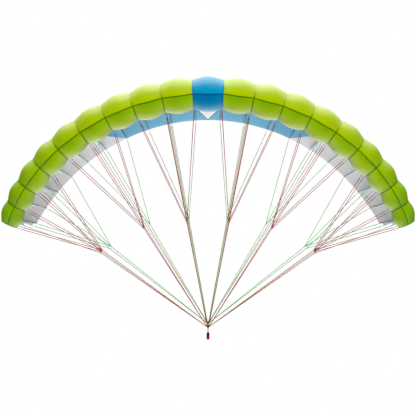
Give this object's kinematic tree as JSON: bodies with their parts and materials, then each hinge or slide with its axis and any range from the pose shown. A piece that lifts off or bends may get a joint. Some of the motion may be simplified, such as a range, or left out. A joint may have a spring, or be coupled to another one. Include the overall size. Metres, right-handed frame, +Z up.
{
  "type": "parawing",
  "caption": "Single-skin parawing: an arched canopy of billowed cells on ribs, with a turned-under nose lip, fanned lines and a short fore-and-aft hand bar.",
  "frame": {"origin": "middle of the hand bar, where it is held", "axes": "+X along the span to the right seen from the front, +Y from the nose to the trailing edge, +Z up from the bar to the canopy"},
  "size_m": [3.4, 1.1784, 2.1419],
  "materials": {
    "lime_cloth": "lime coated ripstop, satin",
    "blue_cloth": "blue coated ripstop, satin",
    "grey_cloth": "pale grey coated ripstop, satin",
    "white_cloth": "white coated ripstop, satin",
    "rib_cloth": "pale stiff ripstop, matt",
    "red_line": "red braided cover",
    "olive_line": "olive braided cover",
    "green_line": "green braided cover",
    "red_grip": "red foam rubber, matt",
    "black_grip": "black foam rubber, matt",
    "leader_cord": "black braided cord"
  },
  "bodies": {
    "root": {"cell_middle": "blue_cloth", "cell_left_1": "lime_cloth", "cell_right_1": "lime_cloth", "cell_left_2": "lime_cloth", "cell_right_2": "lime_cloth", "cell_left_3": "lime_cloth", "cell_right_3": "lime_cloth", "cell_left_4": "lime_cloth", "cell_right_4": "lime_cloth", "cell_left_5": "lime_cloth", "cell_right_5": "lime_cloth", "cell_left_6": "lime_cloth", "cell_right_6": "lime_cloth", "cell_left_7": "lime_cloth", "cell_right_7": "lime_cloth", "cell_left_8": "lime_cloth", "cell_right_8": "lime_cloth", "cell_left_9": "lime_cloth", "cell_right_9": "lime_cloth", "rear_middle": "blue_cloth", "rear_inlay": "white_cloth", "rear_left": "grey_cloth", "rear_right": "grey_cloth", "rib_left_1": "rib_cloth", "rib_right_1": "rib_cloth", "rib_left_2": "rib_cloth", "rib_right_2": "rib_cloth", "rib_left_3": "rib_cloth", "rib_right_3": "rib_cloth", "rib_left_4": "rib_cloth", "rib_right_4": "rib_cloth", "rib_left_5": "rib_cloth", "rib_right_5": "rib_cloth", "rib_left_6": "rib_cloth", "rib_right_6": "rib_cloth", "rib_left_7": "rib_cloth", "rib_right_7": "rib_cloth", "rib_left_8": "rib_cloth", "rib_right_8": "rib_cloth", "rib_left_9": "rib_cloth", "rib_right_9": "rib_cloth", "rib_left_10": "rib_cloth", "rib_right_10": "rib_cloth", "lines_a_left": "red_line", "lines_a_right": "red_line", "lines_b_left": "red_line", "lines_b_right": "red_line", "lines_c_left": "olive_line", "lines_c_right": "olive_line", "lines_d_left": "olive_line", "lines_d_right": "olive_line", "lines_tail_left": "green_line", "lines_tail_right": "green_line", "bar_cap_front": "red_grip", "bar_grip_front": "red_grip", "bar_grip_rear": "black_grip", "bar_cap_rear": "black_grip", "leader_front": "leader_cord", "leader_rear": "leader_cord"}
  },
  "joints": []
}
